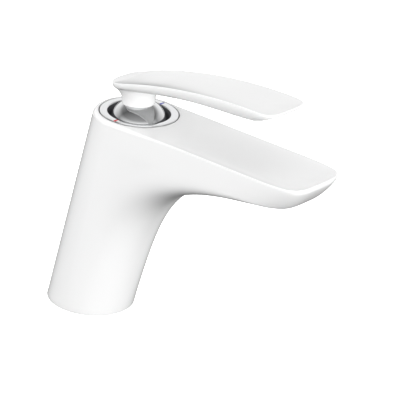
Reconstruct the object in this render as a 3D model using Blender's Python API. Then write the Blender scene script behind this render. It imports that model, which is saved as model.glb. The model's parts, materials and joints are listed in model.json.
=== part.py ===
"""Single-lever basin mixer: a leaning column with a dished spout, a ball joint and an arched lever.

The origin is the centre of the base on the deck. +X runs out along the spout, +Z is up and the model
is symmetric about Y = 0, apart from the hot mark at -Y and the cold mark at +Y. Sizes are in
millimetres and turn into metres where the meshes are made.
"""

from math import asin, cos, hypot, pi, radians, sin, sqrt, tan

import bmesh
import bpy
import numpy as np
from mathutils import Matrix, Vector

MM = 0.001

# Clearances
GAP = 0.3               # between faces that touch or run on each other
PRESS_GAP = 0.3         # round a piece pushed or screwed into place
OVERCUT = 1.0           # how far a cutter runs past the face it opens

# Body: a leaning column and a spout that grows out of its front
COLUMN_R = 24.0
LEAN = radians(11.3)
HEIGHT = 117.2          # deck to the flat rim
REACH = 143.7           # base centre to the spout's tip
SPOUT_HALF = 22.5       # half width of the spout
EDGE = 0.8              # eased top edge
FILLET_START = 6.5      # height where the front leaves the straight column
FILLET_REACH = 62.0     # base front to the end of the big fillet
ROOT_DEPTH = 22.8       # spout depth where the fillet ends
ROOT_SLOPE = 0.30
CHIN_DEPTH = 13.9       # spout depth where the chin starts
CHIN_LENGTH = 10.0      # chin start to the tip
CHIN_SLOPE = 0.15
LIP = 1.6               # straight edge above the chin
DISH_DEPTH = 2.4        # trough in the spout's top
DISH_START = 3.5        # ring seat to where the trough starts
DISH_RUN = 22.0         # length over which the trough deepens
NOSE_SPAN = 110.0       # height below the rim over which the plan turns from a circle to a spout
NOSE_RISE = 6.0
NOSE_FLAT = 18.0        # how square the spout's end is in plan
NOSE_ROUND = 4.0

# Hollow core, base insert and supply tubes
CORE_WALL = 4.0
CHAMBER_FLOOR = 5.5     # metal under the cartridge
INSERT_H = 14.0
INLET_X = 5.0
INLET_Y = 8.7
INLET_R = 4.6           # M10x1 socket
INLET_DEPTH = 8.5
STUD_X = -11.0
STUD_R = 3.4            # M8 socket
STUD_DEPTH = 11.0
GASKET_R = 17.2
GASKET_TUBE = 1.0
TUBE_R = 3.3
TUBE_WALL = 0.9
TUBE_SEAT = 3.5

# Ball joint and trim ring
BALL_R = 15.1
BALL_DROP = 5.3         # rim plane down to the ball's centre
BALL_SHELL = 2.0
BALL_SKIRT = 3.0        # how far the cap runs below its centre
RING_SHOULDER = 2.9     # body left outside the trim ring at the rim
RING_BORE_GAP = 0.5     # ball to the narrowest part of the ring
RING_MOUTH = 1.0        # how much wider the ring's mouth is than its bore
RING_LIP = 5.0          # depth of the ring's flange
RING_WALL = 1.7
MARK_W = 1.2
MARK_L = 2.6
MARK_T = 0.5

# Cartridge, listed from its base up
CARTRIDGE_R = 17.5
PORT_RING = 9.0         # radius of the circle of ports
PORT_R = 2.9
BASE_T = 4.5
DISC_T = 3.4
MOVING_T = 3.0
CARRIER_T = 2.6
FIXED_DISC_R = 14.0
MOVING_DISC_R = 9.4
BOSS_R = 4.6
BOSS_H = 3.4
POCKET_R = 3.0
STEM_LOW = 13.9         # pivot down to the centre of the stem's foot
FOOT_R = 2.6
ROD_R = 1.8
HOUSING_WALL = 2.1
SHOULDER_T = 1.9
MID_NECK_R = 12.0
NECK_R = 9.2
BUSH_R = 7.6
BUSH_GAP = 0.3
BUSH_FLANGE = 1.8
NECK_TOP = 4.0          # pivot up to the top of the housing's neck
PIN_R = 1.5
STEM_SIDE = 7.0         # square of the stem above the pivot
STEM_TOP = 20.6         # pivot up to the stem's end
NUT_THREAD = 1.5
NUT_SKIRT = 5.6
NUT_LIP = 3.7
LIMITER_R = 14.4

# Lever
ARC_R = 295.6           # radius of the lever's long arc
CREST_X = 108.0
CREST_Z = 32.1          # rim plane up to the crest of the lever
LEVER_TIP = 119.6
LEVER_REAR = 9.5
LEVER_HALF = 16.5
LEVER_THICKNESS = ((6, 3.6), (14, 4.8), (24, 6.0), (40, 7.0), (60, 7.7), (80, 8.7), (95, 9.0),
                   (106, 8.4), (113, 6.6), (119.6, 3.4))
REAR_LIFT = 1.1         # how far the rear end curls up off the arc
LEVER_DISH = 1.4
NECK_FOOT_R = 8.7
NECK_FLARE = 3.0
NECK_SWEEP = 1.4        # how far the flare leans to the rear
SCREW_R = 2.0
SCREW_L = 3.4
SCREW_TILT = radians(20.0)
SCREW_DROP = 2.4        # stem's end down to the screw
PLUG_T = 1.3

# Outlet
AERATOR_X = 23.7        # tip back to the centre of the outlet
AERATOR_R = 9.6
AERATOR_TILT = radians(9.5)
AERATOR_DEPTH = 8.0
AERATOR_PROUD = 0.8
AERATOR_WALL = 1.4
CHANNEL_R = 3.4

# Facets
OFF_FACET = radians(1.7)
ROUND = 32
SMALL = 16
TINY = 10
REAR_STEPS = 7
SIDE_STEPS = 16

# Pieces whose many crossing holes the exact solver leaves with open edges
LEFT_OPEN_BY_EXACT = ("body", "base_insert")

# Heights and places that follow from the sizes
SLOPE = tan(LEAN)
AXIS_X = HEIGHT * SLOPE
PIVOT_Z = HEIGHT - BALL_DROP
FOOT_Z = PIVOT_Z - STEM_LOW
POCKET_FLOOR_Z = FOOT_Z - FOOT_R - GAP
CARRIER_Z = POCKET_FLOOR_Z - 1.1
MOVING_Z = CARRIER_Z - GAP - MOVING_T
FIXED_Z = MOVING_Z - GAP - DISC_T
BASE_Z = FIXED_Z - GAP - BASE_T
CHAMBER_Z = BASE_Z - PRESS_GAP
PLATE_TOP_Z = CARRIER_Z + CARRIER_T
BOSS_TOP_Z = PLATE_TOP_Z + BOSS_H
SHOULDER_Z = PLATE_TOP_Z + GAP + SHOULDER_T
MID_TOP_Z = BOSS_TOP_Z + GAP + 1.6
NUT_TOP_Z = SHOULDER_Z + GAP + NUT_LIP
NUT_R = CARTRIDGE_R + PRESS_GAP + NUT_THREAD
NUT_LOW_Z = SHOULDER_Z - NUT_SKIRT
RING_R = COLUMN_R - RING_SHOULDER
RING_BORE = BALL_R + RING_BORE_GAP
RING_SKIRT_R = NUT_R + 0.4


def mat(name, colour, roughness, metallic):
    made = bpy.data.materials.new(name)
    made.use_nodes = True
    shader = made.node_tree.nodes["Principled BSDF"]
    shader.inputs["Base Color"].default_value = (*colour, 1.0)
    shader.inputs["Roughness"].default_value = roughness
    shader.inputs["Metallic"].default_value = metallic
    return made


def clear_scene():
    for old in list(bpy.data.objects):
        bpy.data.objects.remove(old, do_unlink=True)


def empty(name, at, parent=None):
    """An axis marker that the moving pieces hang from."""
    made = bpy.data.objects.new(name, None)
    bpy.context.collection.objects.link(made)
    made.parent = parent
    made.location = Vector(at) * MM - (place_of(parent) if parent else Vector())
    return made


def place_of(thing):
    """World place of a chain of unturned empties."""
    place = Vector()
    while thing:
        place += thing.location
        thing = thing.parent
    return place


def finish(bm, name, material, at=(0, 0, 0), turn=None, parent=None, sharp=35):
    """Makes an object from a mesh in millimetres, with its origin at a place in millimetres."""
    bmesh.ops.remove_doubles(bm, verts=bm.verts, dist=1e-4)
    bmesh.ops.recalc_face_normals(bm, faces=bm.faces)
    bmesh.ops.scale(bm, vec=(MM, MM, MM), verts=bm.verts)
    mesh = bpy.data.meshes.new(name)
    bm.to_mesh(mesh)
    bm.free()
    mesh.shade_smooth()
    mesh.set_sharp_from_angle(angle=radians(sharp))
    made = bpy.data.objects.new(name, mesh)
    bpy.context.collection.objects.link(made)
    if material:
        mesh.materials.append(material)
    made.parent = parent
    made.location = Vector(at) * MM - (place_of(parent) if parent else Vector())
    if turn is not None:
        made.rotation_euler = turn.to_euler()
    return made


def turned(profile, steps):
    """A closed profile of (radius, height) points turned about Z."""
    bm = bmesh.new()
    points = [bm.verts.new((r, 0, z)) for r, z in profile]
    edges = [bm.edges.new((a, b)) for a, b in zip(points, points[1:])]
    if profile[0][0] > 0 or profile[-1][0] > 0:
        edges.append(bm.edges.new((points[-1], points[0])))
    bmesh.ops.spin(bm, geom=points + edges, cent=(0, 0, 0), axis=(0, 0, 1), angle=2 * pi,
                   steps=steps, use_merge=True)
    return bm


def lathe(name, profile, material, at, steps=ROUND, **more):
    return finish(turned(profile, steps), name, material, at, **more)


def disc(radius, low, high):
    return [(0, low), (radius, low), (radius, high), (0, high)]


def tube(inner, outer, low, high):
    return [(inner, low), (outer, low), (outer, high), (inner, high)]


def o_ring(radius, thick, at_z, around=8):
    """The round section of a seal ring."""
    steps = [2 * pi * i / around for i in range(around)]
    return [(radius + thick * cos(a), at_z + thick * sin(a)) for a in steps]


def hidden(thing):
    thing.hide_render = True
    thing.display_type = "WIRE"
    return thing


def boolean(target, tool, operation="DIFFERENCE"):
    step = target.modifiers.new(tool.name, "BOOLEAN")
    step.operation = operation
    step.solver = "MANIFOLD" if target.name in LEFT_OPEN_BY_EXACT else "EXACT"
    step.object = hidden(tool)


def drill(target, name, start, end, radius, steps=SMALL):
    """A round hole between two points."""
    start, end = Vector(start), Vector(end)
    run = end - start
    bm = turned(disc(radius, 0, run.length), steps)
    bmesh.ops.rotate(bm, matrix=Matrix.Rotation(OFF_FACET, 3, "Z"), verts=bm.verts)
    turn = run.to_track_quat("Z", "Y")
    boolean(target, finish(bm, "cut_" + name, None, start, turn))


def bore(target, name, profile, at, steps=ROUND, turn=None):
    """A turned cut, its facets a little out of step so that no edge of it meets another edge."""
    bm = turned(profile, steps)
    bmesh.ops.rotate(bm, matrix=Matrix.Rotation(OFF_FACET, 3, "Z"), verts=bm.verts)
    boolean(target, finish(bm, "cut_" + name, None, at, turn))


def block(target, name, low, high):
    """A square cut between two corners."""
    low, high = Vector(low), Vector(high)
    bm = bmesh.new()
    bmesh.ops.create_cube(bm, size=1.0)
    bmesh.ops.scale(bm, vec=high - low, verts=bm.verts)
    boolean(target, finish(bm, "cut_" + name, None, (low + high) / 2))


def bezier(points, count):
    t = np.linspace(0, 1, count)[:, None]
    a, b, c, d = (np.array(p, float) for p in points)
    return (1 - t) ** 3 * a + 3 * (1 - t) ** 2 * t * b + 3 * (1 - t) * t ** 2 * c + t ** 3 * d


def front_profile():
    """The body's front on its centre plane, from the deck to the tip, as (x, z)."""
    start = np.array((COLUMN_R + SLOPE * FILLET_START, FILLET_START))
    up = np.array((sin(LEAN), cos(LEAN)))
    root = np.array((COLUMN_R + FILLET_REACH, HEIGHT - ROOT_DEPTH))
    chin = np.array((REACH - CHIN_LENGTH, HEIGHT - CHIN_DEPTH))
    tip = np.array((REACH, HEIGHT - LIP))
    span = np.linalg.norm(root - start)
    along = np.array((1, ROOT_SLOPE)) / hypot(1, ROOT_SLOPE)
    level = np.array((1, CHIN_SLOPE)) / hypot(1, CHIN_SLOPE)
    run = np.linalg.norm(chin - root) * 0.35
    fillet = bezier((start, start + up * span * 0.52, root - along * span * 0.41, root), 50)
    belly = bezier((root, root + along * run, chin - level * run, chin), 30)
    nose = bezier((chin, chin + level * CHIN_LENGTH * 0.28, tip - (0, LIP), tip), 30)
    return np.vstack(((COLUMN_R, 0), fillet, belly[1:], nose[1:], (REACH, HEIGHT)))


FRONT = front_profile()


def quarter(length, width, p, q, count):
    """Points from (0, width) to (length, 0) on a superellipse, spread by length and by turning."""
    x = np.linspace(0, length * 0.5 ** (1 / p), 120)
    y = np.linspace(width * 0.5 ** (1 / q), 0, 120)[1:]
    high = np.stack((x, width * (1 - (x / length) ** p) ** (1 / q)), -1)
    low = np.stack((length * (1 - (y / width) ** q) ** (1 / p), y), -1)
    dense = np.vstack((high, low))
    steps = np.diff(dense, axis=0)
    travel = np.concatenate(((0,), np.cumsum(np.hypot(*steps.T))))
    heading = np.arctan2(-steps[:, 1], steps[:, 0])
    heading = np.concatenate(((0,), np.maximum.accumulate(heading)))
    measure = travel / travel[-1] + heading / heading[-1]
    at = np.linspace(0, measure[-1], count + 1)
    return np.stack((np.interp(at, measure, dense[:, 0]), np.interp(at, measure, dense[:, 1])), -1)


def outline(z, rear_steps, front_steps):
    """The body's outline at a height, anticlockwise from the rear."""
    rise = min(max((z - HEIGHT + NOSE_SPAN) / NOSE_SPAN, 0.0), 1.0)
    centre = SLOPE * z
    length = np.interp(z, FRONT[:, 1], FRONT[:, 0]) - centre
    side = quarter(length, COLUMN_R, 2 + (NOSE_FLAT - 2) * rise ** NOSE_RISE,
                   2 + (NOSE_ROUND - 2) * rise, front_steps)
    narrowing = (SPOUT_HALF - COLUMN_R) * rise * np.minimum(1, 3 * side[:, 0] / length)
    side[:, 1] *= 1 + narrowing / COLUMN_R
    turn = np.linspace(pi, pi / 2, rear_steps + 1)[:-1]
    rear = np.stack((COLUMN_R * np.cos(turn), COLUMN_R * np.sin(turn)), -1)
    half = np.vstack((rear, side))
    whole = np.vstack((half[::-1], half[1:-1] * (1, -1)))
    return [Vector((centre + x, y, z)) for x, y in whole]


def loft(rings):
    """Closed skin over rings of equal counts, with flat ends."""
    bm = bmesh.new()
    made = [[bm.verts.new(p) for p in ring] for ring in rings]
    count = len(made[0])
    for low, high in zip(made, made[1:]):
        for i in range(count):
            j = (i + 1) % count
            bm.faces.new((low[i], low[j], high[j], high[i]))
    bm.faces.new(made[0][::-1])
    bm.faces.new(made[-1])
    return bm


def body_heights():
    """Slices are close together where the front runs nearly level."""
    column = np.linspace(0, HEIGHT - 2.2 * ROOT_DEPTH, 6)
    fillet = np.linspace(HEIGHT - 2.2 * ROOT_DEPTH, HEIGHT - ROOT_DEPTH, 8)[1:]
    spout = np.linspace(HEIGHT - ROOT_DEPTH, HEIGHT - EDGE, 14)[1:]
    return np.concatenate((column, fillet, spout))


def body_rings():
    rings = [outline(z, REAR_STEPS, SIDE_STEPS) for z in body_heights()]
    rim = outline(HEIGHT, REAR_STEPS, SIDE_STEPS)
    middle_start = AXIS_X + RING_R + DISH_START + DISH_RUN / 2
    middle_end = REACH - SPOUT_HALF
    for share in (0.04, 0.12, 0.3, 0.6):
        ring = []
        for point in rim:
            middle = Vector((min(max(point.x, AXIS_X), middle_end), 0, point.z))
            inner = point.lerp(middle, share)
            deep = (inner.x - middle_start + DISH_RUN / 2) / DISH_RUN
            deep = min(max(deep, 0.0), 1.0)
            fall = 1 - (1 - min(share / 0.9, 1.0)) ** 2
            inner.z -= DISH_DEPTH * deep * deep * (3 - 2 * deep) * fall * (share > 0.04)
            ring.append(inner)
        rings.append(ring)
    return rings


def port_places():
    """Two inlets towards the back and the outlet towards the spout, on the cartridge's axis."""
    back = radians(120)
    hot = (PORT_RING * cos(back), -PORT_RING * sin(back))
    cold = (PORT_RING * cos(back), PORT_RING * sin(back))
    return {"hot": hot, "cold": cold, "outlet": (PORT_RING, 0.0)}


PORTS = port_places()


def supply_line(side):
    """Ends of a supply tube: in the base insert and under the cartridge."""
    y = INLET_Y if side == "cold" else -INLET_Y
    low = Vector((INLET_X, y, INSERT_H - TUBE_SEAT))
    port = PORTS[side]
    high = Vector((AXIS_X + port[0], port[1], CHAMBER_Z - 1.5))
    return low, high


def aerator_frame():
    """Outlet centre on the spout's underside, and the turn that takes +Z into the spout."""
    x = REACH - AERATOR_X
    z = np.interp(x, FRONT[:, 0], FRONT[:, 1])
    turn = Matrix.Rotation(-AERATOR_TILT, 3, "Y")
    return Vector((x, 0, z)), turn


def make_body(white):
    body = finish(loft(body_rings()), "body", white, sharp=40)
    axis = (AXIS_X, 0, 0)
    chamber = [
        (0, CHAMBER_Z), (CARTRIDGE_R + PRESS_GAP, CHAMBER_Z),
        (CARTRIDGE_R + PRESS_GAP, NUT_LOW_Z - GAP), (NUT_R + GAP, NUT_LOW_Z - GAP),
        (NUT_R + GAP, NUT_TOP_Z + GAP), (RING_SKIRT_R + PRESS_GAP, NUT_TOP_Z + GAP),
        (RING_SKIRT_R + PRESS_GAP, HEIGHT - RING_LIP), (RING_R + PRESS_GAP, HEIGHT - RING_LIP),
        (RING_R + PRESS_GAP, HEIGHT + OVERCUT), (0, HEIGHT + OVERCUT)]
    bore(body, "chamber", chamber, axis)
    core_top = CHAMBER_Z - CHAMBER_FLOOR
    bm = turned(disc(COLUMN_R - CORE_WALL, -OVERCUT, core_top), ROUND)
    lean = Matrix(((1, 0, SLOPE), (0, 1, 0), (0, 0, 1))).to_4x4()
    bmesh.ops.transform(bm, matrix=lean, verts=bm.verts)
    boolean(body, finish(bm, "cut_core", None))
    for side in ("hot", "cold"):
        low, high = supply_line(side)
        along = (high - low).normalized()
        seat = high - along * (TUBE_SEAT + 2)
        drill(body, side + "_seat", seat, high + along * GAP, TUBE_R + PRESS_GAP)
        drill(body, side + "_way", high, high + along * 6, TUBE_R - TUBE_WALL)
    centre, turn = aerator_frame()
    into = turn @ Vector((0, 0, 1))
    pocket = disc(AERATOR_R + PRESS_GAP, -3 * OVERCUT, AERATOR_DEPTH)
    bore(body, "outlet", pocket, centre, turn=turn)
    chamber_side = Vector((AXIS_X + CARTRIDGE_R - 2, 0, CHAMBER_Z + CHANNEL_R + 2.2))
    far = centre + into * (AERATOR_DEPTH - 0.5)
    drill(body, "waterway", chamber_side, far, CHANNEL_R)
    return body


def make_base(brass, rubber, steel):
    core = COLUMN_R - CORE_WALL
    bm = turned(disc(core - PRESS_GAP, 0, INSERT_H), ROUND)
    lean = Matrix(((1, 0, SLOPE), (0, 1, 0), (0, 0, 1))).to_4x4()
    bmesh.ops.transform(bm, matrix=lean, verts=bm.verts)
    insert = finish(bm, "base_insert", brass)
    groove = tube(GASKET_R - GASKET_TUBE - 0.3, GASKET_R + GASKET_TUBE + 0.3, -OVERCUT,
                  2 * GASKET_TUBE + GAP)
    bore(insert, "gasket_groove", groove, (0, 0, 0))
    for side in ("hot", "cold"):
        low, high = supply_line(side)
        along = (high - low).normalized()
        drill(insert, side + "_socket", (low.x, low.y, -OVERCUT), (low.x, low.y, INLET_DEPTH), INLET_R)
        drill(insert, side + "_tube_seat", low - along * GAP, high, TUBE_R + PRESS_GAP)
        drill(insert, side + "_inlet_way", low - along * 4, high, TUBE_R - TUBE_WALL)
    drill(insert, "stud", (STUD_X, 0, -OVERCUT), (STUD_X, 0, STUD_DEPTH), STUD_R)
    lathe("base_gasket", o_ring(GASKET_R, GASKET_TUBE, GASKET_TUBE), rubber, (0, 0, 0))
    for side in ("hot", "cold"):
        low, high = supply_line(side)
        turn = (high - low).to_track_quat("Z", "Y")
        profile = tube(TUBE_R - TUBE_WALL, TUBE_R, 0, (high - low).length)
        lathe(side + "_supply_tube", profile, steel, low, SMALL, turn=turn)


def make_cartridge(plastic, dark, ceramic, rubber, brass):
    axis = (AXIS_X, 0, 0)
    inner = CARTRIDGE_R - HOUSING_WALL
    base = lathe("cartridge_base", disc(inner - GAP, BASE_Z, BASE_Z + BASE_T), dark, axis)
    seal = PORT_R + 1.3
    for side, (x, y) in PORTS.items():
        place = (AXIS_X + x, y, 0)
        bore(base, side + "_port", disc(PORT_R, BASE_Z - OVERCUT, FIXED_Z), place, SMALL)
        groove = tube(seal - 1.0, seal + 1.0, BASE_Z + BASE_T - 1.3, FIXED_Z)
        bore(base, side + "_disc_groove", groove, place, SMALL)
        lathe(side + "_disc_seal", o_ring(seal, 0.65, BASE_Z + BASE_T - 0.35, 6), rubber, place, SMALL)
        if side != "outlet":
            groove = tube(seal - 1.0, seal + 1.0, BASE_Z - OVERCUT, BASE_Z + 1.3)
            bore(base, side + "_inlet_groove", groove, place, SMALL)
            lathe(side + "_inlet_seal", o_ring(seal, 0.65, BASE_Z + 0.35, 6), rubber, place, SMALL)
    half = PORT_R
    block(base, "outlet_way", (AXIS_X + PORT_RING, -half, BASE_Z - OVERCUT),
          (AXIS_X + CARTRIDGE_R + 2, half, BASE_Z + 2.2))
    fixed = lathe("fixed_disc", disc(FIXED_DISC_R, FIXED_Z, FIXED_Z + DISC_T), ceramic, axis)
    for side, (x, y) in PORTS.items():
        bore(fixed, side + "_disc_port", disc(PORT_R, FIXED_Z - OVERCUT, MOVING_Z),
             (AXIS_X + x, y, 0), SMALL)
    housing = [
        (inner, BASE_Z), (CARTRIDGE_R, BASE_Z), (CARTRIDGE_R, SHOULDER_Z), (MID_NECK_R, SHOULDER_Z),
        (MID_NECK_R, MID_TOP_Z), (NECK_R, MID_TOP_Z), (NECK_R, PIVOT_Z + NECK_TOP),
        (BUSH_R + BUSH_GAP, PIVOT_Z + NECK_TOP), (BUSH_R + BUSH_GAP, BOSS_TOP_Z + GAP),
        (MID_NECK_R - 1.4, BOSS_TOP_Z + GAP), (MID_NECK_R - 1.4, SHOULDER_Z - SHOULDER_T),
        (inner, SHOULDER_Z - SHOULDER_T)]
    shell = lathe("cartridge_housing", housing, plastic, axis)
    block(shell, "housing_window", (AXIS_X, -half - 1, BASE_Z - OVERCUT),
          (AXIS_X + CARTRIDGE_R + 2, half + 1, BASE_Z + BASE_T + 1.5))
    groove_z = NUT_LOW_Z - 2.4
    groove = tube(CARTRIDGE_R - 1.0, CARTRIDGE_R + 2, groove_z - 1.0, groove_z + 1.0)
    bore(shell, "housing_groove", groove, axis)
    lathe("housing_seal", o_ring(CARTRIDGE_R - 0.15, 0.4, groove_z, 6), rubber, axis)
    nut = [
        (CARTRIDGE_R + PRESS_GAP, NUT_LOW_Z), (NUT_R, NUT_LOW_Z), (NUT_R, NUT_TOP_Z),
        (LIMITER_R + GAP, NUT_TOP_Z), (LIMITER_R + GAP, SHOULDER_Z + GAP),
        (CARTRIDGE_R + PRESS_GAP, SHOULDER_Z + GAP)]
    lathe("retaining_nut", nut, brass, axis)
    limiter = tube(MID_NECK_R + GAP, LIMITER_R, SHOULDER_Z + GAP, NUT_TOP_Z - 0.6)
    ring = lathe("limiter_ring", limiter, dark, axis)
    block(ring, "limiter_stop", (AXIS_X - LIMITER_R - 1, -2.0, NUT_TOP_Z - 1.8),
          (AXIS_X - MID_NECK_R + 1, 2.0, NUT_TOP_Z))


def make_mixer(swivel, lift, ceramic, dark, steel, plastic):
    """The pieces that turn and slide inside the cartridge."""
    axis = (AXIS_X, 0, 0)
    moving = lathe("moving_disc", disc(MOVING_DISC_R, MOVING_Z, MOVING_Z + MOVING_T), ceramic, axis,
                   parent=swivel)
    bore(moving, "mixing_hollow", disc(MOVING_DISC_R - 2.6, MOVING_Z - OVERCUT, MOVING_Z + 1.5), axis)
    carrier = [
        (0, CARRIER_Z), (MOVING_DISC_R, CARRIER_Z), (MOVING_DISC_R, PLATE_TOP_Z),
        (BOSS_R, PLATE_TOP_Z), (BOSS_R, BOSS_TOP_Z), (POCKET_R, BOSS_TOP_Z),
        (POCKET_R, POCKET_FLOOR_Z), (0, POCKET_FLOOR_Z)]
    lathe("disc_carrier", carrier, dark, axis, parent=swivel)
    low = BOSS_TOP_Z + 2 * GAP
    top = PIVOT_Z + NECK_TOP + GAP
    under_cap = sqrt((BALL_R - BALL_SHELL) ** 2 - (NECK_TOP + GAP + BUSH_FLANGE) ** 2)
    flange = min(NECK_R - 0.2, under_cap - 2 * GAP)
    bush = [
        (0, low), (BUSH_R, low), (BUSH_R, top), (flange, top),
        (flange, top + BUSH_FLANGE), (0, top + BUSH_FLANGE)]
    made = lathe("swivel_bush", bush, plastic, axis, parent=swivel)
    half = STEM_SIDE / 2
    upper = half + GAP
    block(made, "stem_slot", (AXIS_X - upper - 2.6, -upper, PIVOT_Z - 5.0),
          (AXIS_X + upper + 1.2, upper, top + BUSH_FLANGE + OVERCUT))
    block(made, "rod_slot", (AXIS_X - ROD_R - 0.8, -ROD_R - 0.8, low - OVERCUT),
          (AXIS_X + BUSH_R + 2, ROD_R + 0.8, PIVOT_Z - 3))
    drill(made, "pin_way", (AXIS_X, -BUSH_R - 1, PIVOT_Z), (AXIS_X, BUSH_R + 1, PIVOT_Z),
          PIN_R + GAP, TINY)
    turn = Vector((0, 1, 0)).to_track_quat("Z", "Y")
    lathe("stem_pin", disc(PIN_R, -BUSH_R + 0.2, BUSH_R - 0.2), steel, (AXIS_X, 0, PIVOT_Z), TINY,
          turn=turn, parent=swivel)
    foot_steps = 8
    foot = [(FOOT_R * sin(pi * i / foot_steps), -STEM_LOW - FOOT_R * cos(pi * i / foot_steps))
            for i in range(foot_steps) if FOOT_R * sin(pi * i / foot_steps) > ROD_R * (i > 4)]
    rod = foot + [(ROD_R, -STEM_LOW + FOOT_R), (ROD_R, -3.0), (0, -3.0)]
    stem = lathe("cartridge_stem", rod, steel, (AXIS_X, 0, PIVOT_Z), TINY, parent=lift)
    bm = bmesh.new()
    bmesh.ops.create_cube(bm, size=1.0)
    bmesh.ops.scale(bm, vec=(STEM_SIDE, STEM_SIDE, STEM_TOP + 3.6), verts=bm.verts)
    bmesh.ops.translate(bm, vec=(0, 0, (STEM_TOP - 3.6) / 2), verts=bm.verts)
    square = finish(bm, "stem_square", None, (AXIS_X, 0, PIVOT_Z))
    boolean(stem, square, "UNION")
    drill(stem, "stem_pin_way", (AXIS_X, -half - 1, PIVOT_Z), (AXIS_X, half + 1, PIVOT_Z),
          PIN_R + GAP, TINY)


def make_trim(chrome, rubber, red, blue):
    axis = (AXIS_X, 0, 0)
    bore_z = PIVOT_Z
    low = NUT_TOP_Z + 2 * GAP
    inner = RING_SKIRT_R - RING_WALL
    ring = [
        (RING_BORE + RING_MOUTH, HEIGHT), (RING_R - 0.4, HEIGHT), (RING_R, HEIGHT - 0.4),
        (RING_R, HEIGHT - RING_LIP + GAP), (RING_SKIRT_R, HEIGHT - RING_LIP + GAP),
        (RING_SKIRT_R, low), (inner, low), (inner, bore_z - 2.4), (RING_BORE, bore_z - 1.4),
        (RING_BORE, bore_z)]
    made = lathe("trim_ring", ring, chrome, axis)
    seal_z = (low + HEIGHT - RING_LIP) / 2
    groove = tube(RING_SKIRT_R - 0.9, RING_SKIRT_R + 2, seal_z - 0.9, seal_z + 0.9)
    bore(made, "trim_groove", groove, axis)
    lathe("trim_ring_seal", o_ring(RING_SKIRT_R - 0.2, 0.4, seal_z, 6), rubber, axis)
    middle = (RING_BORE + RING_MOUTH + RING_R - 0.4) / 2
    for name, side, colour in (("hot_mark", -1, red), ("cold_mark", 1, blue)):
        centre = Vector((AXIS_X, side * middle, HEIGHT - MARK_T / 2 - 0.05))
        slot = Vector((MARK_W / 2 + 0.15, MARK_L / 2 + 0.15, MARK_T))
        block(made, name + "_slot", centre - slot, centre + slot)
        bm = bmesh.new()
        bmesh.ops.create_cube(bm, size=1.0)
        bmesh.ops.scale(bm, vec=(MARK_W, MARK_L, MARK_T), verts=bm.verts)
        finish(bm, name, colour, centre)


def lever_top(x):
    """Height of the lever's rim above the deck."""
    near = min(max((16.0 - x) / 6.0, 0.0), 1.0)
    lift = REAR_LIFT * near * near * (3 - 2 * near)
    return HEIGHT + CREST_Z - (ARC_R - sqrt(ARC_R ** 2 - (CREST_X - x) ** 2)) + lift


def lever_rings():
    """Sections across the lever, from its rounded rear to its tip."""
    rings = []
    rear, front = 14.5, 7.0
    stations = [LEVER_REAR + rear * (1 - cos(pi / 2 * i / 6)) for i in range(7)]
    stations += list(np.linspace(LEVER_REAR + rear, LEVER_TIP - front, 10)[1:])
    stations += [LEVER_TIP - front * (1 - sin(pi / 2 * i / 4)) for i in range(1, 5)]
    for x in stations:
        back = min(max((LEVER_REAR + rear - x) / rear, 0.0), 0.995)
        ahead = min(max((x - LEVER_TIP + front) / front, 0.0), 0.995)
        half = LEVER_HALF * (1 - back ** 2) ** (1 / 2) * (1 - ahead ** 2.8) ** (1 / 2.8)
        thick = np.interp(x, *np.transpose(LEVER_THICKNESS)) * (1 - back ** 4) ** (1 / 4)
        top = lever_top(x)
        low = []
        for i in range(13):
            turn = pi * i / 12
            side = abs(cos(turn)) ** 0.59 * (1 if i < 6 else -1)
            low.append(Vector((x, half * side, top - thick * sin(turn) ** 0.83)))
        dish = LEVER_DISH * (half / LEVER_HALF) ** 2
        high = [Vector((x, -half * s, top - dish * (1 - s * s))) for s in (0.85, 0.4, -0.4, -0.85)]
        rings.append(low + high)
    return rings


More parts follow.
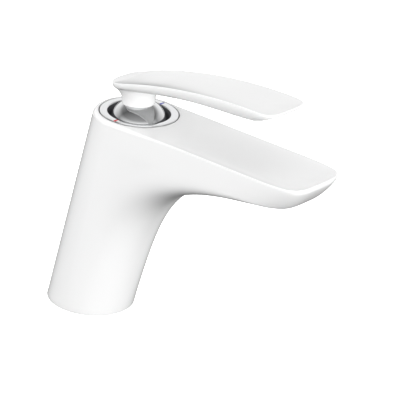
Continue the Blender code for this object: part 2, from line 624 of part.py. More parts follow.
def make_lever(lift, white, chrome, steel, plastic):
    pivot = (AXIS_X, 0, PIVOT_Z)
    skirt = -asin(BALL_SKIRT / BALL_R)
    crown = pi / 2 - asin((STEM_SIDE * sqrt(0.5) + GAP) / BALL_R)
    inner = BALL_R - BALL_SHELL
    low_in = -asin(BALL_SKIRT / inner)
    crown_in = pi / 2 - asin((STEM_SIDE * sqrt(0.5) + GAP) / inner)
    arc = [skirt + (crown - skirt) * i / 9 for i in range(10)]
    arc_in = [crown_in + (low_in - crown_in) * i / 6 for i in range(7)]
    cap = [(BALL_R * cos(a), BALL_R * sin(a)) for a in arc]
    cap += [(inner * cos(a), inner * sin(a)) for a in arc_in]
    lathe("ball_cap", cap, chrome, pivot, ROUND, parent=lift)

    bm = loft(lever_rings())
    bmesh.ops.translate(bm, vec=-Vector(pivot), verts=bm.verts)
    lever = finish(bm, "lever", white, pivot, parent=lift, sharp=50)
    seat = BALL_R + GAP
    foot = sqrt(seat ** 2 - NECK_FOOT_R ** 2) - 1.0
    flare_top = lever_top(AXIS_X) - PIVOT_Z - LEVER_DISH - 1.0
    flare = [(0, foot), (NECK_FOOT_R, foot), (NECK_FOOT_R, foot + 1.5)]
    rise = flare_top - foot - 1.5
    for i in range(1, 7):
        share = i / 6
        flare.append((NECK_FOOT_R + NECK_FLARE * share ** 3, foot + 1.5 + rise * share))
    flare.append((0, flare_top))
    bm = turned(flare, ROUND)
    climb = (CREST_X - AXIS_X) / sqrt(ARC_R ** 2 - (CREST_X - AXIS_X) ** 2)
    for vert in bm.verts:
        share = (vert.co.z - foot) / (flare_top - foot)
        vert.co.x -= NECK_SWEEP * share ** 2
        vert.co.z += vert.co.x * climb * share
    neck = finish(bm, "lever_neck_solid", None, pivot)
    boolean(lever, neck, "UNION")
    bm = bmesh.new()
    bmesh.ops.create_uvsphere(bm, u_segments=ROUND, v_segments=20, radius=seat)
    bmesh.ops.rotate(bm, matrix=Matrix.Rotation(OFF_FACET, 3, "Z"), verts=bm.verts)
    boolean(lever, finish(bm, "cut_ball_seat", None, pivot))
    side = STEM_SIDE / 2 + GAP
    block(lever, "stem_socket", (AXIS_X - side, -side, PIVOT_Z), (AXIS_X + side, side, PIVOT_Z + STEM_TOP + GAP))
    screw_x = AXIS_X - STEM_SIDE / 2 - GAP - SCREW_R * sin(SCREW_TILT)
    screw_in = Vector((screw_x, 0, PIVOT_Z + STEM_TOP - SCREW_DROP))
    out = Vector((-cos(SCREW_TILT), 0, -sin(SCREW_TILT)))
    drill(lever, "screw_way", screw_in - out, screw_in + out * 14, SCREW_R + PRESS_GAP, TINY)
    turn = out.to_track_quat("Z", "Y")
    lathe("lever_screw", disc(SCREW_R, 0, SCREW_L), steel, screw_in, TINY, turn=turn, parent=lift)
    plug = disc(SCREW_R, SCREW_L + GAP, SCREW_L + GAP + PLUG_T)
    lathe("lever_screw_plug", plug, plastic, screw_in, TINY, turn=turn, parent=lift)


def make_outlet(chrome, plastic, rubber, dark):
    centre, turn = aerator_frame()
    inner = AERATOR_R - AERATOR_WALL
    low = -AERATOR_PROUD
    shell = [
        (inner - 1.0, low), (AERATOR_R - 0.4, low), (AERATOR_R, low + 0.4), (AERATOR_R, 5.4),
        (inner, 5.4), (inner, low + 1.4), (inner - 1.0, low + 1.4)]
    lathe("aerator_housing", shell, chrome, centre, turn=turn)
    insert = lathe("aerator_insert", disc(inner - GAP, low + 1.4 + GAP, 2.6), plastic, centre, turn=turn)
    pitch = (inner - 1.6) / 2.2
    for i in (-2, -1, 0, 1, 2):
        bm = bmesh.new()
        bmesh.ops.create_cube(bm, size=1.0)
        length = 2 * sqrt((inner - 1.6) ** 2 - (i * pitch) ** 2)
        bmesh.ops.scale(bm, vec=(length, 1.4, 20), verts=bm.verts)
        spot = centre + turn @ Vector((0, i * pitch, 0))
        boolean(insert, finish(bm, "cut_jet_" + str(i + 2), None, spot, turn))
    limiter = lathe("flow_limiter", tube(1.4, inner - GAP, 2.6 + GAP, 4.6), dark, centre, SMALL, turn=turn)
    for i in range(6):
        around = radians(60 * i)
        spot = centre + turn @ Vector((5.0 * cos(around), 5.0 * sin(around), 0))
        bore(limiter, "limiter_way_" + str(i), disc(0.9, -20, 20), spot, 8, turn)
    seal = tube(inner - 2.0, AERATOR_R - 0.2, 5.4 + GAP, AERATOR_DEPTH - GAP)
    lathe("aerator_seal", seal, rubber, centre, SMALL, turn=turn)


def main():
    clear_scene()
    white = mat("white_coat", (0.87, 0.87, 0.87), 0.18, 0.0)
    chrome = mat("chrome", (0.86, 0.87, 0.88), 0.05, 1.0)
    steel = mat("stainless_steel", (0.62, 0.62, 0.61), 0.25, 1.0)
    brass = mat("brass", (0.72, 0.56, 0.28), 0.3, 1.0)
    rubber = mat("black_rubber", (0.03, 0.03, 0.03), 0.7, 0.0)
    plastic = mat("white_plastic", (0.82, 0.82, 0.80), 0.4, 0.0)
    dark = mat("dark_plastic", (0.12, 0.12, 0.13), 0.45, 0.0)
    ceramic = mat("disc_ceramic", (0.9, 0.88, 0.84), 0.25, 0.0)
    red = mat("red_enamel", (0.75, 0.04, 0.04), 0.3, 0.0)
    blue = mat("blue_enamel", (0.05, 0.14, 0.7), 0.3, 0.0)
    swivel = empty("swivel_axis", (AXIS_X, 0, PIVOT_Z))
    lift = empty("lift_axis", (AXIS_X, 0, PIVOT_Z), swivel)
    make_body(white)
    make_base(brass, rubber, steel)
    make_cartridge(plastic, dark, ceramic, rubber, brass)
    make_mixer(swivel, lift, ceramic, dark, steel, plastic)
    make_trim(chrome, rubber, red, blue)
    make_lever(lift, white, chrome, steel, plastic)
    make_outlet(chrome, plastic, rubber, dark)


main()
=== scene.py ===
"""Single-lever basin mixer in a white baked coat, with a chrome ring and ball: the visible surfaces.

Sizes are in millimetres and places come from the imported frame. The spout runs along +X, the deck is at
Z = 0 and the shape is symmetric about Y = 0.
"""

import json
from math import cos, hypot, pi, radians, sin, sqrt, tan

import bmesh
import bpy
import numpy as np
from mathutils import Matrix, Vector


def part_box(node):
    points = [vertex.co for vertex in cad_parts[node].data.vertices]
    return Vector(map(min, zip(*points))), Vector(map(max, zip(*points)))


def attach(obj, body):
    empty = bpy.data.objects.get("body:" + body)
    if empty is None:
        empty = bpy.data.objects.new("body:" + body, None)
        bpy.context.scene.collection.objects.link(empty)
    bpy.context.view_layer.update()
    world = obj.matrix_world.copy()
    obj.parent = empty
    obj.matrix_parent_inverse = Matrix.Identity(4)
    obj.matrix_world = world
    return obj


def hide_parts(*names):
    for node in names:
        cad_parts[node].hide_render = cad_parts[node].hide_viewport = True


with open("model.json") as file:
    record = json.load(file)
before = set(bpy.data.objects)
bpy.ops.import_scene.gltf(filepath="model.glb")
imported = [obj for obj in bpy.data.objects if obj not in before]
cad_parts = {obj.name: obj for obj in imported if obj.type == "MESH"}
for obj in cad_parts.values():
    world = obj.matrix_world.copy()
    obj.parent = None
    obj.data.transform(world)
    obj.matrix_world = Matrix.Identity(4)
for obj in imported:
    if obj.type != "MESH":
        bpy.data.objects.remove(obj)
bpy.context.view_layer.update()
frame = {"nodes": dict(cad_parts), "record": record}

MM = 0.001
SHARP = 38              # degrees between faces from which an edge stays crisp
LEVER_SHARP = 60


def corners(node):
    """Lowest and highest corner of a frame node in millimetres."""
    low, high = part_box(node)
    return np.array(low) / MM, np.array(high) / MM


JOINTS = {joint["name"]: joint for joint in frame["record"]["behaviour"]["joints"]}
BODY_HIGH = corners("body")[1]
RING_LOW, RING_HIGH = corners("trim_ring")
BALL_HIGH = corners("ball_cap")[1]
OUTLET_LOW, OUTLET_HIGH = corners("aerator_housing")
LEVER_LOW, LEVER_HIGH = corners("lever")

# Body, as the frame's own body node
AXIS_X, _, PIVOT_Z = (v / MM for v in JOINTS["flow_lift"]["pos_m"])
HEIGHT = BODY_HIGH[2]
REACH = BODY_HIGH[0]
COLUMN_R = BODY_HIGH[1]
LEAN = radians(11.3)
SLOPE = tan(LEAN)
SPOUT_HALF = 22.5
FILLET_START = 6.5      # height at which the column's front leaves its straight line
FILLET_REACH = 62.0     # from the column's front to where the fillet meets the belly
FILLET_PULL = (0.52, 0.41)  # how far each end of the fillet keeps its direction
ROOT_DEPTH = 22.8       # spout's depth where the fillet ends
ROOT_SLOPE = 0.30
CHIN_DEPTH = 13.9       # spout's depth where the nose starts
CHIN_LENGTH = 10.0
CHIN_SLOPE = 0.15
CHIN_PULL = 0.28
LIP = 1.6               # upright edge at the tip
NOSE_SPAN = 110.0       # height over which the plan turns from a circle to a nose
NOSE_RISE = 6.0
NOSE_FLAT = 18.0        # superellipse exponents of the nose's plan
NOSE_ROUND = 4.0
REAR_STEPS = 26         # points round a quarter of the column and along a side of the spout
SIDE_STEPS = 54
SHOULDER_ROUND = 2.2    # eased edge round the back of the ring
RIM_ROUND = 0.55        # crisp edge along the spout
RIM_FLAT = 0.35
RIM_RUN = 40.0          # length over which the shoulder's ease fades into the rim's
BASE_ROUND = 0.4
DISH_DEPTH = 2.4        # trough in the spout's top
DISH_START = 3.0        # from the ring to where the trough starts
DISH_RUN = 26.0         # length over which the trough deepens
DISH_BLUNT = 2.4        # how quickly the trough falls from the rim
DISH_SHARES = (0.0, 0.02, 0.05, 0.09, 0.14, 0.20, 0.28, 0.37, 0.47, 0.58, 0.70, 0.85, 1.0)
SEAT_DEPTH = 6.0        # recess for the ring, and the soft edge at its mouth
SEAT_FLARE = 0.35
CORE_WALL = 4.0         # wall left round the recess for the base
CORE_DEPTH = 14.6

# Ring, ball and lever
RING_R = (RING_HIGH[0] - RING_LOW[0]) / 2 - 0.25
RING_SEAT_R = (RING_HIGH[0] - RING_LOW[0]) / 2 + 0.3
RING_MOUTH_R = 16.9
RING_BORE_R = 15.6
BALL_R = 15.1
BALL_SKIRT = 3.0        # how far the ball goes on below its middle
BALL_SHELL = 0.8
BALL_CROWN = 0.84       # share of the radius that the ball rises above its middle
ARC_R = 295.6           # arch of the lever's rim, highest at the crest
CREST_X = 108.0
CREST_Z = LEVER_HIGH[2]
LEVER_TIP = LEVER_HIGH[0]
LEVER_REAR = LEVER_LOW[0]
LEVER_HALF = 16.5
LEVER_MIDDLE = 62.0     # where the plan of the tip meets the plan of the rear
LEVER_TIP_PLAN = (20.0, 3.8)    # superellipse exponents of the plan along and across
LEVER_REAR_PLAN = (10.0, 1.9)
LEVER_SIDE = 3.4        # superellipse exponents of the section across and down
LEVER_BELLY = 2.4
LEVER_DISH = 1.5        # hollow of the top, the length over which it deepens, and how fast it falls
LEVER_DISH_RUN = 34.0
LEVER_DISH_BLUNT = 2.2
LEVER_SHARES = (0.05, 0.08, 0.12, 0.18, 0.26, 0.36, 0.48, 0.61, 0.75, 0.88, 1.0)
SPINE_REAR = 15.0       # how far short of the ends the lever's spine stops
SPINE_TIP = 14.0
LEVER_THICKNESS = ((6, 3.6), (14, 4.8), (24, 6.0), (40, 7.0), (60, 7.7), (80, 8.7), (95, 9.1),
                   (106, 8.4), (113, 6.6), (119.6, 3.4))
LEVER_EDGE = 0.4
REAR_LIFT = 1.1         # curl of the rear end, and where and over what length it starts
REAR_LIFT_X = 16.0
REAR_LIFT_RUN = 6.0
NECK_R = 8.7
NECK_BACK = 1.0         # the neck stands this far behind the ball's middle
NECK_SPREAD = 1.2       # flare at the front, what the rear adds to it, and how late it opens
NECK_SWEEP = 3.9
NECK_CURVE = 2.1
NECK_TOP = 4.0          # the neck ends this far under the lever's rim
SCREW_WAY_R = 2.3

# Outlet: heights along its own axis, from the middle of the housing
OUTLET_FACE = -4.0
OUTLET_BORE = 8.0
OUTLET_POCKET_R = 9.9
JET_PITCH = 2.15
JET_R = 0.95
JET_DEPTH = 3.2

# Base
PLATE_T = 14.0
PLATE_GAP = 0.3
SEAL_R = 17.2
GROOVE = (15.9, 18.5, 2.3)      # inner radius, outer radius and depth of the seal's groove
SOCKETS = {"hot_inlet": (4.6, 8.5), "cold_inlet": (4.6, 8.5), "stud_socket": (3.4, 11.0)}

# View: directions to the right and back to the camera, its place along right, up and back, and its lens
VIEW_RIGHT = (0.7707, 0.6314, 0.0863)
VIEW_BACK = (0.5515, -0.7287, 0.4059)
VIEW_PLACE = (60.1, 52.8, 1344)
VIEW_LENS = 219.9

# Brightness of the room from straight down (0) over the horizon (0.5) to overhead (1)
ROOM = ((0.44, 0.14), (0.53, 1.08), (0.70, 1.04), (0.80, 0.45), (1.0, 0.35))
ROOM_SIDES = 0.3        # share of that brightness to the left and right of the view
ACROSS_VIEW = (-0.60, 0.80, 0.0)
FLOOR_SIZE = 4000
FLOOR_GLOW = 0.8
# Soft boxes: where each stands and what it faces in metres, its width and height, and its brightness
SOFT_BOXES = {
    "left_box": ((-1.1, -0.95, 0.45), (0.03, 0, 0.08), (1.1, 1.3), 2.4),
    "front_box": ((0.2, -1.5, 0.65), (0.05, 0, 0.07), (1.8, 0.9), 3.2),
    "right_box": ((1.5, 0.1, 0.3), (0.05, 0, 0.08), (1.2, 0.8), 8.6),
    "top_box": ((0.0, 0.1, 1.5), (0.06, 0, 0.1), (1.6, 1.6), 1.0)}


# ---------------------------------------------------------------- meshes

def grid(around, along):
    """A flat sheet and its vertices as rows[along][around]."""
    bm = bmesh.new()
    bmesh.ops.create_grid(bm, x_segments=around, y_segments=along, size=1.0)
    ordered = sorted(bm.verts, key=lambda v: (round(v.co.y, 5), round(v.co.x, 5)))
    width = around + 1
    rows = [ordered[i * width:(i + 1) * width] for i in range(along + 1)]
    return bm, rows


def skin(rings):
    """A closed tube of skin laid over rings of points, its seam welded and its ends filled."""
    count = len(rings[0])
    bm, rows = grid(count, len(rings) - 1)
    for row, ring in zip(rows, rings):
        for i, vert in enumerate(row):
            vert.co = ring[i % count]
    bmesh.ops.remove_doubles(bm, verts=bm.verts, dist=1e-3)
    bmesh.ops.holes_fill(bm, edges=[e for e in bm.edges if e.is_boundary])
    return bm


def spun(profile, steps=128):
    """A profile of (radius, height) points turned about Z."""
    bm = bmesh.new()
    points = [bm.verts.new((r, 0, z)) for r, z in profile]
    edges = [bm.edges.new(pair) for pair in zip(points, points[1:])]
    if max(profile[0][0], profile[-1][0]) > 0:
        edges.append(bm.edges.new((points[-1], points[0])))
    bmesh.ops.spin(bm, geom=points + edges, cent=(0, 0, 0), axis=(0, 0, 1), angle=2 * pi,
                   steps=steps, use_merge=True)
    return bm


def eased(corner_points, radius, steps=4):
    """A closed profile with its corners rounded to a radius."""
    out = []
    count = len(corner_points)
    for i, here in enumerate(corner_points):
        here = Vector(here)
        before = Vector(corner_points[i - 1]) - here
        after = Vector(corner_points[(i + 1) % count]) - here
        reach = min(radius, before.length * 0.45, after.length * 0.45)
        start = here + before.normalized() * reach
        end = here + after.normalized() * reach
        for k in range(steps + 1):
            t = k / steps
            out.append(tuple((1 - t) ** 2 * start + 2 * t * (1 - t) * here + t * t * end))
    return out


def leaning(bm):
    """Shears a mesh forward along the column's lean."""
    lean = Matrix(((1, 0, SLOPE), (0, 1, 0), (0, 0, 1))).to_4x4()
    bmesh.ops.transform(bm, matrix=lean, verts=bm.verts)
    return bm


def solid(bm, name, at=(0, 0, 0), turn=None, sharp=SHARP):
    """An object from a mesh in millimetres, with its place worked into the mesh."""
    bmesh.ops.remove_doubles(bm, verts=bm.verts, dist=1e-4)
    bmesh.ops.recalc_face_normals(bm, faces=bm.faces)
    if turn is not None:
        bmesh.ops.rotate(bm, matrix=turn, verts=bm.verts)
    bmesh.ops.translate(bm, vec=at, verts=bm.verts)
    bmesh.ops.scale(bm, vec=(MM, MM, MM), verts=bm.verts)
    mesh = bpy.data.meshes.new(name)
    bm.to_mesh(mesh)
    bm.free()
    mesh.shade_smooth()
    mesh.set_sharp_from_angle(angle=radians(sharp))
    made = bpy.data.objects.new(name, mesh)
    bpy.context.collection.objects.link(made)
    return made


def combine(target, tool, operation="DIFFERENCE", sharp=SHARP):
    """Cuts or joins one piece with another, and keeps only the result."""
    step = target.modifiers.new("combine", "BOOLEAN")
    step.operation = operation
    step.solver = "EXACT"
    step.object = tool
    bpy.context.view_layer.update()
    ready = target.evaluated_get(bpy.context.evaluated_depsgraph_get())
    mesh = bpy.data.meshes.new_from_object(ready)
    mesh.shade_smooth()
    mesh.set_sharp_from_angle(angle=radians(sharp))
    target.modifiers.clear()
    target.data = mesh
    bpy.data.objects.remove(tool, do_unlink=True)


def cylinder(radius, low, high, steps=96):
    return spun([(0, low), (radius, low), (radius, high), (0, high)], steps)


def smooth_step(t):
    """Eases from 0 to 1."""
    t = np.clip(t, 0.0, 1.0)
    return t * t * (3 - 2 * t)


def bezier(points, count):
    """Points on the cubic curve of four handles."""
    t = np.linspace(0, 1, count)[:, None]
    a, b, c, d = (np.array(p, float) for p in points)
    return (1 - t) ** 3 * a + 3 * (1 - t) ** 2 * t * b + 3 * (1 - t) * t ** 2 * c + t ** 3 * d


# ---------------------------------------------------------------- body

def front_profile():
    """The body's front on its centre plane, from the deck to the tip, as (x, z)."""
    start = np.array((COLUMN_R + SLOPE * FILLET_START, FILLET_START))
    up = np.array((sin(LEAN), cos(LEAN)))
    root = np.array((COLUMN_R + FILLET_REACH, HEIGHT - ROOT_DEPTH))
    chin = np.array((REACH - CHIN_LENGTH, HEIGHT - CHIN_DEPTH))
    tip = np.array((REACH, HEIGHT - LIP))
    span = np.linalg.norm(root - start)
    along = np.array((1, ROOT_SLOPE)) / hypot(1, ROOT_SLOPE)
    level = np.array((1, CHIN_SLOPE)) / hypot(1, CHIN_SLOPE)
    run = np.linalg.norm(chin - root) * 0.35
    leave, arrive = (span * share for share in FILLET_PULL)
    fillet = bezier((start, start + up * leave, root - along * arrive, root), 120)
    belly = bezier((root, root + along * run, chin - level * run, chin), 60)
    nose = bezier((chin, chin + level * CHIN_LENGTH * CHIN_PULL, tip - (0, LIP), tip), 60)
    return np.vstack(((COLUMN_R, 0), fillet, belly[1:], nose[1:], (REACH, HEIGHT)))


FRONT = front_profile()


def quarter(length, width, p, q, count):
    """Points from (0, width) to (length, 0) on a superellipse, spread by length and by turning."""
    x = np.linspace(0, length * 0.5 ** (1 / p), 300)
    y = np.linspace(width * 0.5 ** (1 / q), 0, 300)[1:]
    high = np.stack((x, width * (1 - (x / length) ** p) ** (1 / q)), -1)
    low = np.stack((length * (1 - (y / width) ** q) ** (1 / p), y), -1)
    dense = np.vstack((high, low))
    steps = np.diff(dense, axis=0)
    travel = np.concatenate(((0,), np.cumsum(np.hypot(*steps.T))))
    heading = np.arctan2(-steps[:, 1], steps[:, 0])
    heading = np.concatenate(((0,), np.maximum.accumulate(heading)))
    measure = travel / travel[-1] + heading / heading[-1]
    at = np.linspace(0, measure[-1], count + 1)
    return np.stack((np.interp(at, measure, dense[:, 0]), np.interp(at, measure, dense[:, 1])), -1)


def outline(z):
    """The body's outline at a height, as an array of (x, y) from the tip round by +Y to the rear."""
    rise = min(max((z - HEIGHT + NOSE_SPAN) / NOSE_SPAN, 0.0), 1.0)
    centre = SLOPE * z
    length = np.interp(z, FRONT[:, 1], FRONT[:, 0]) - centre
    side = quarter(length, COLUMN_R, 2 + (NOSE_FLAT - 2) * rise ** NOSE_RISE,
                   2 + (NOSE_ROUND - 2) * rise, SIDE_STEPS)
    narrowing = (SPOUT_HALF - COLUMN_R) * rise * np.minimum(1, 3 * side[:, 0] / length)
    side[:, 1] *= 1 + narrowing / COLUMN_R
    turn = np.linspace(pi, pi / 2, REAR_STEPS + 1)[:-1]
    rear = np.stack((COLUMN_R * np.cos(turn), COLUMN_R * np.sin(turn)), -1)
    half = np.vstack((rear, side))
    whole = np.vstack((half[::-1], half[1:-1] * (1, -1)))
    return whole + (centre, 0)


def inward(ring, distance):
    """A closed outline moved inwards by a distance at each point."""
    along = np.roll(ring, -1, axis=0) - np.roll(ring, 1, axis=0)
    along /= np.linalg.norm(along, axis=1)[:, None]
    left = np.stack((-along[:, 1], along[:, 0]), -1)
    return ring + left * np.asarray(distance)[:, None]


def lifted(ring, heights):
    return [Vector((x, y, z)) for (x, y), z in zip(ring, heights)]


def body_rings():
    """Rings from the deck up the outside, over the rim and down into the spout's trough."""
    rings = []
    foot = outline(0.0)
    for k in range(4):
        turn = pi / 2 * k / 3
        ring = inward(foot, np.full(len(foot), BASE_ROUND * (1 - sin(turn))))
        rings.append(lifted(ring, np.full(len(ring), BASE_ROUND * (1 - cos(turn)))))
    levels = np.concatenate((
        np.linspace(3, HEIGHT - 2.4 * ROOT_DEPTH, 14),
        np.linspace(HEIGHT - 2.4 * ROOT_DEPTH, HEIGHT - ROOT_DEPTH, 26)[1:],
        np.linspace(HEIGHT - ROOT_DEPTH, HEIGHT - SHOULDER_ROUND, 48)[1:]))
    rings += [lifted(outline(z), np.full(len(foot), z)) for z in levels]
    rim = outline(HEIGHT)
    along = smooth_step((rim[:, 0] - AXIS_X) / RIM_RUN)
    ease = SHOULDER_ROUND + (RIM_ROUND - SHOULDER_ROUND) * along
    for k in range(7):
        turn = pi / 2 * k / 6
        heights = HEIGHT - ease * (1 - sin(turn))
        rings.append(lifted(inward(rim, ease * (1 - cos(turn))), heights))
    middle_end = REACH - SPOUT_HALF + 4
    edge = inward(rim, ease + RIM_FLAT)
    for share in DISH_SHARES:
        middle = np.stack((np.clip(edge[:, 0], AXIS_X, middle_end), 0 * edge[:, 0]), -1)
        ring = edge + (middle - edge) * share
        deep = smooth_step((ring[:, 0] - AXIS_X - RING_R - DISH_START) / DISH_RUN)
        fall = 1 - (1 - share) ** DISH_BLUNT
        rings.append(lifted(ring, HEIGHT - DISH_DEPTH * deep * fall))
    return rings


def outlet_frame():
    """Outlet centre on the spout's underside and the turn that takes +Z into the spout."""
    mount = next(m for m in frame["record"]["mounts"] if m["name"] == "outlet_face")
    out = Vector(mount["axis"])
    turn = (-out).to_track_quat("Z", "Y").to_matrix()
    centre = Vector((OUTLET_LOW + OUTLET_HIGH) / 2)
    return centre, turn


def make_body(white):
    """Column and spout in one, recessed for the ring, the outlet and the base."""
    body = solid(skin(body_rings()), "body_shell")
    seat = [(0, -SEAT_DEPTH), (RING_SEAT_R, -SEAT_DEPTH), (RING_SEAT_R, -SEAT_FLARE)]
    for k in range(1, 5):
        turn = pi / 2 * k / 4
        seat.append((RING_SEAT_R + SEAT_FLARE * (1 - cos(turn)), -SEAT_FLARE * (1 - sin(turn))))
    seat += [(RING_SEAT_R + SEAT_FLARE, 2), (0, 2)]
    combine(body, solid(spun(seat, 160), "seat_cut", (AXIS_X, 0, HEIGHT)))
    centre, turn = outlet_frame()
    pocket = cylinder(OUTLET_POCKET_R, -12, 3.5)
    combine(body, solid(pocket, "outlet_cut", centre, turn))
    core = leaning(cylinder(COLUMN_R - CORE_WALL, -2, CORE_DEPTH, 128))
    combine(body, solid(core, "core_cut"))
    place(body, white, "mixer_body", "body")


# ---------------------------------------------------------------- ring and ball

def make_ring(chrome, shade):
    """The polished ring, slotted for its marks, its bore given the dark material as painted shade."""
    profile = eased([
        (RING_BORE_R, -5.4), (RING_MOUTH_R, 0.0), (RING_R, 0.0), (RING_R, -4.6),
        (RING_R - 1.4, -4.6), (RING_R - 1.4, -13.2), (RING_R - 3.2, -13.2), (RING_R - 3.2, -7.4),
        (RING_BORE_R, -6.8)], 0.35)
    ring = solid(spun(profile, 160), "ring_shell", (AXIS_X, 0, HEIGHT))
    for name in ("hot_mark", "cold_mark"):
        low, high = corners(name)
        slot = box_between(low - (0.12, 0.3, 0.1), high + (0.12, 0.3, 1.0), 0.0)
        combine(ring, solid(slot, name + "_cut"))
    place(ring, chrome, "mixer_body", "trim_ring")
    # The bore's faces take the dark material: painted shade standing in for the shadow inside the ring.
    ring.data.materials.append(shade)
    for face in ring.data.polygons:
        away = hypot(face.center.x / MM - AXIS_X, face.center.y / MM)
        painted_shade_face = away < RING_MOUTH_R + 0.1 and face.center.z / MM < HEIGHT - 0.3
        face.material_index = 1 if painted_shade_face else 0


def box_between(low, high, ease):
    """A block between two corners with eased edges."""
    bm = bmesh.new()
    bmesh.ops.create_cube(bm, size=1.0)
    low, high = Vector(low), Vector(high)
    bmesh.ops.scale(bm, vec=high - low, verts=bm.verts)
    bmesh.ops.translate(bm, vec=(low + high) / 2, verts=bm.verts)
    if ease:
        bmesh.ops.bevel(bm, geom=bm.edges[:], offset=ease, offset_type="OFFSET", segments=3,
                        profile=0.5, affect="EDGES", material=-1)
    return bm


def make_marks(red, blue):
    """Hot and cold inlays, a hair proud of the ring."""
    for name, colour in (("hot_mark", red), ("cold_mark", blue)):
        low, high = corners(name)
        inlay = box_between(low - (0.08, 0.2, 0), high + (0.08, 0.2, 0.03), 0.12)
        place(solid(inlay, name + "_inlay"), colour, "mixer_body", name)


def make_ball(chrome):
    """The polished ball as a shell, cut off below the ring and under the neck."""
    bm = bmesh.new()
    bmesh.ops.create_uvsphere(bm, u_segments=128, v_segments=96, radius=BALL_R)
    for height, side in ((-BALL_SKIRT, 1), (BALL_HIGH[2] - PIVOT_Z - 0.2, -1)):
        bmesh.ops.bisect_plane(bm, geom=bm.verts[:] + bm.edges[:] + bm.faces[:], dist=1e-5,
                               plane_co=(0, 0, height), plane_no=(0, 0, side), clear_inner=True)
    for vert in bm.verts:
        vert.co.z *= BALL_CROWN if vert.co.z > 0 else 1.0
    bmesh.ops.recalc_face_normals(bm, faces=bm.faces)
    bmesh.ops.solidify(bm, geom=bm.faces[:], thickness=BALL_SHELL)
    ball = solid(bm, "ball_shell", (AXIS_X, 0, PIVOT_Z))
    place(ball, chrome, "handle", "ball_cap")


# ---------------------------------------------------------------- lever

def lever_top(x):
    """Height of the lever's rim."""
    lift = REAR_LIFT * smooth_step((REAR_LIFT_X - x) / REAR_LIFT_RUN)
    return CREST_Z - ARC_R + np.sqrt(ARC_R ** 2 - (CREST_X - x) ** 2) + lift


def lever_depth(x):
    """Depth of the lever under its rim."""
    return np.interp(x, *np.transpose(LEVER_THICKNESS))


def lever_outline():
    """The lever's plan from its tip round by +Y to its rear: a blunt tip and a rounder rear."""
    ahead = quarter(LEVER_TIP - LEVER_MIDDLE, LEVER_HALF, *LEVER_TIP_PLAN, 48)
    behind = quarter(LEVER_MIDDLE - LEVER_REAR, LEVER_HALF, *LEVER_REAR_PLAN, 40)
    ahead[:, 0] += LEVER_MIDDLE
    behind[:, 0] = LEVER_MIDDLE - behind[:, 0]
    half = np.vstack((behind[::-1], ahead[1:]))
    return np.vstack((half[::-1], half[1:-1] * (1, -1)))


def paddle_rings():
    """Rings from the middle of the underside out to the rim and in over the dished top."""
    plan = lever_outline()
    spine_x = np.clip(plan[:, 0], LEVER_REAR + SPINE_REAR, LEVER_TIP - SPINE_TIP)
    spine = np.stack((spine_x, 0 * spine_x), -1)
    depth = lever_depth(plan[:, 0])
    rings = []
    for k in range(19):
        turn = pi / 2 * (1 - k / 18)
        share = 1 - cos(turn) ** (2 / LEVER_SIDE) if k else 1.0
        drop = sin(turn) ** (2 / LEVER_BELLY)
        ring = plan + (spine - plan) * share
        local = lever_depth(ring[:, 0])
        blend = depth * (1 - share) + local * share
        under = LEVER_EDGE + (blend - LEVER_EDGE) * drop
        rings.append(lifted(ring, lever_top(ring[:, 0]) - under))
    for k in range(1, 5):
        turn = pi / 2 * k / 4
        ring = plan + (spine - plan) * (LEVER_EDGE * (1 - cos(turn)) / LEVER_HALF)
        rings.append(lifted(ring, lever_top(ring[:, 0]) - LEVER_EDGE * (1 - sin(turn))))
    for share in LEVER_SHARES:
        ring = plan + (spine - plan) * share
        fall = 1 - (1 - (share - 0.04) / 0.96) ** LEVER_DISH_BLUNT
        deep = smooth_step((ring[:, 0] - LEVER_REAR - 2) / LEVER_DISH_RUN)
        rings.append(lifted(ring, lever_top(ring[:, 0]) - LEVER_DISH * fall * (0.3 + 0.7 * deep)))
    return rings


def neck_rings():
    """The neck: round on the ball, flaring under the lever, furthest at its rear."""
    seat = BALL_CROWN * sqrt(BALL_R ** 2 - (NECK_R + NECK_BACK) ** 2)
    middle = AXIS_X - NECK_BACK
    around = np.linspace(0, 2 * pi, 97)[:-1]
    climb = (CREST_X - AXIS_X) / sqrt(ARC_R ** 2 - (CREST_X - AXIS_X) ** 2)
    low = PIVOT_Z + seat
    rise = float(lever_top(AXIS_X)) - NECK_TOP - low
    rings = []
    for inset, lift in ((3.0, 1.2), (0.35, -0.15), (0.12, 0.0), (0.0, 0.25)):
        r = NECK_R - inset
        rings.append([Vector((middle + r * cos(a), r * sin(a), low + lift)) for a in around])
    for k in range(1, 17):
        s = k / 16
        ring = []
        for a in around:
            rearward = 0.5 - 0.5 * cos(a)
            spread = NECK_SPREAD + NECK_SWEEP * rearward
            r = NECK_R + spread * s ** NECK_CURVE
            x = middle + r * cos(a)
            tilt = (x - AXIS_X) * climb * s ** 1.5
            ring.append(Vector((x, r * sin(a), low + 0.25 + rise * s + tilt)))
        rings.append(ring)
    return rings


def make_lever(white):
    """Lever and neck in one, with the way for the set screw and the plug that closes it."""
    lever = solid(skin(paddle_rings()), "lever_shell", sharp=LEVER_SHARP)
    neck = solid(skin(neck_rings()), "lever_neck")
    combine(lever, neck, "UNION", sharp=LEVER_SHARP)
    low, high = corners("lever_screw")
    end_low, end_high = corners("lever_screw_plug")
    start, mouth = Vector((low + high) / 2), Vector((end_low + end_high) / 2)
    out = mouth - start
    turn = out.to_track_quat("Z", "Y").to_matrix()
    way = cylinder(SCREW_WAY_R, -1.5, 12, 48)
    combine(lever, solid(way, "screw_way", start, turn), sharp=LEVER_SHARP)
    place(lever, white, "handle", "lever")
    profile = [(0, -0.8), (2.05, -0.8), (2.15, -0.6), (2.15, 0.6), (1.9, 0.8), (0.8, 0.8),
               (0.6, 0.5), (0, 0.5)]
    plug = solid(spun(profile, 48), "screw_plug", mouth, turn)
    place(plug, white, "handle", "lever_screw_plug")


# ---------------------------------------------------------------- outlet and base

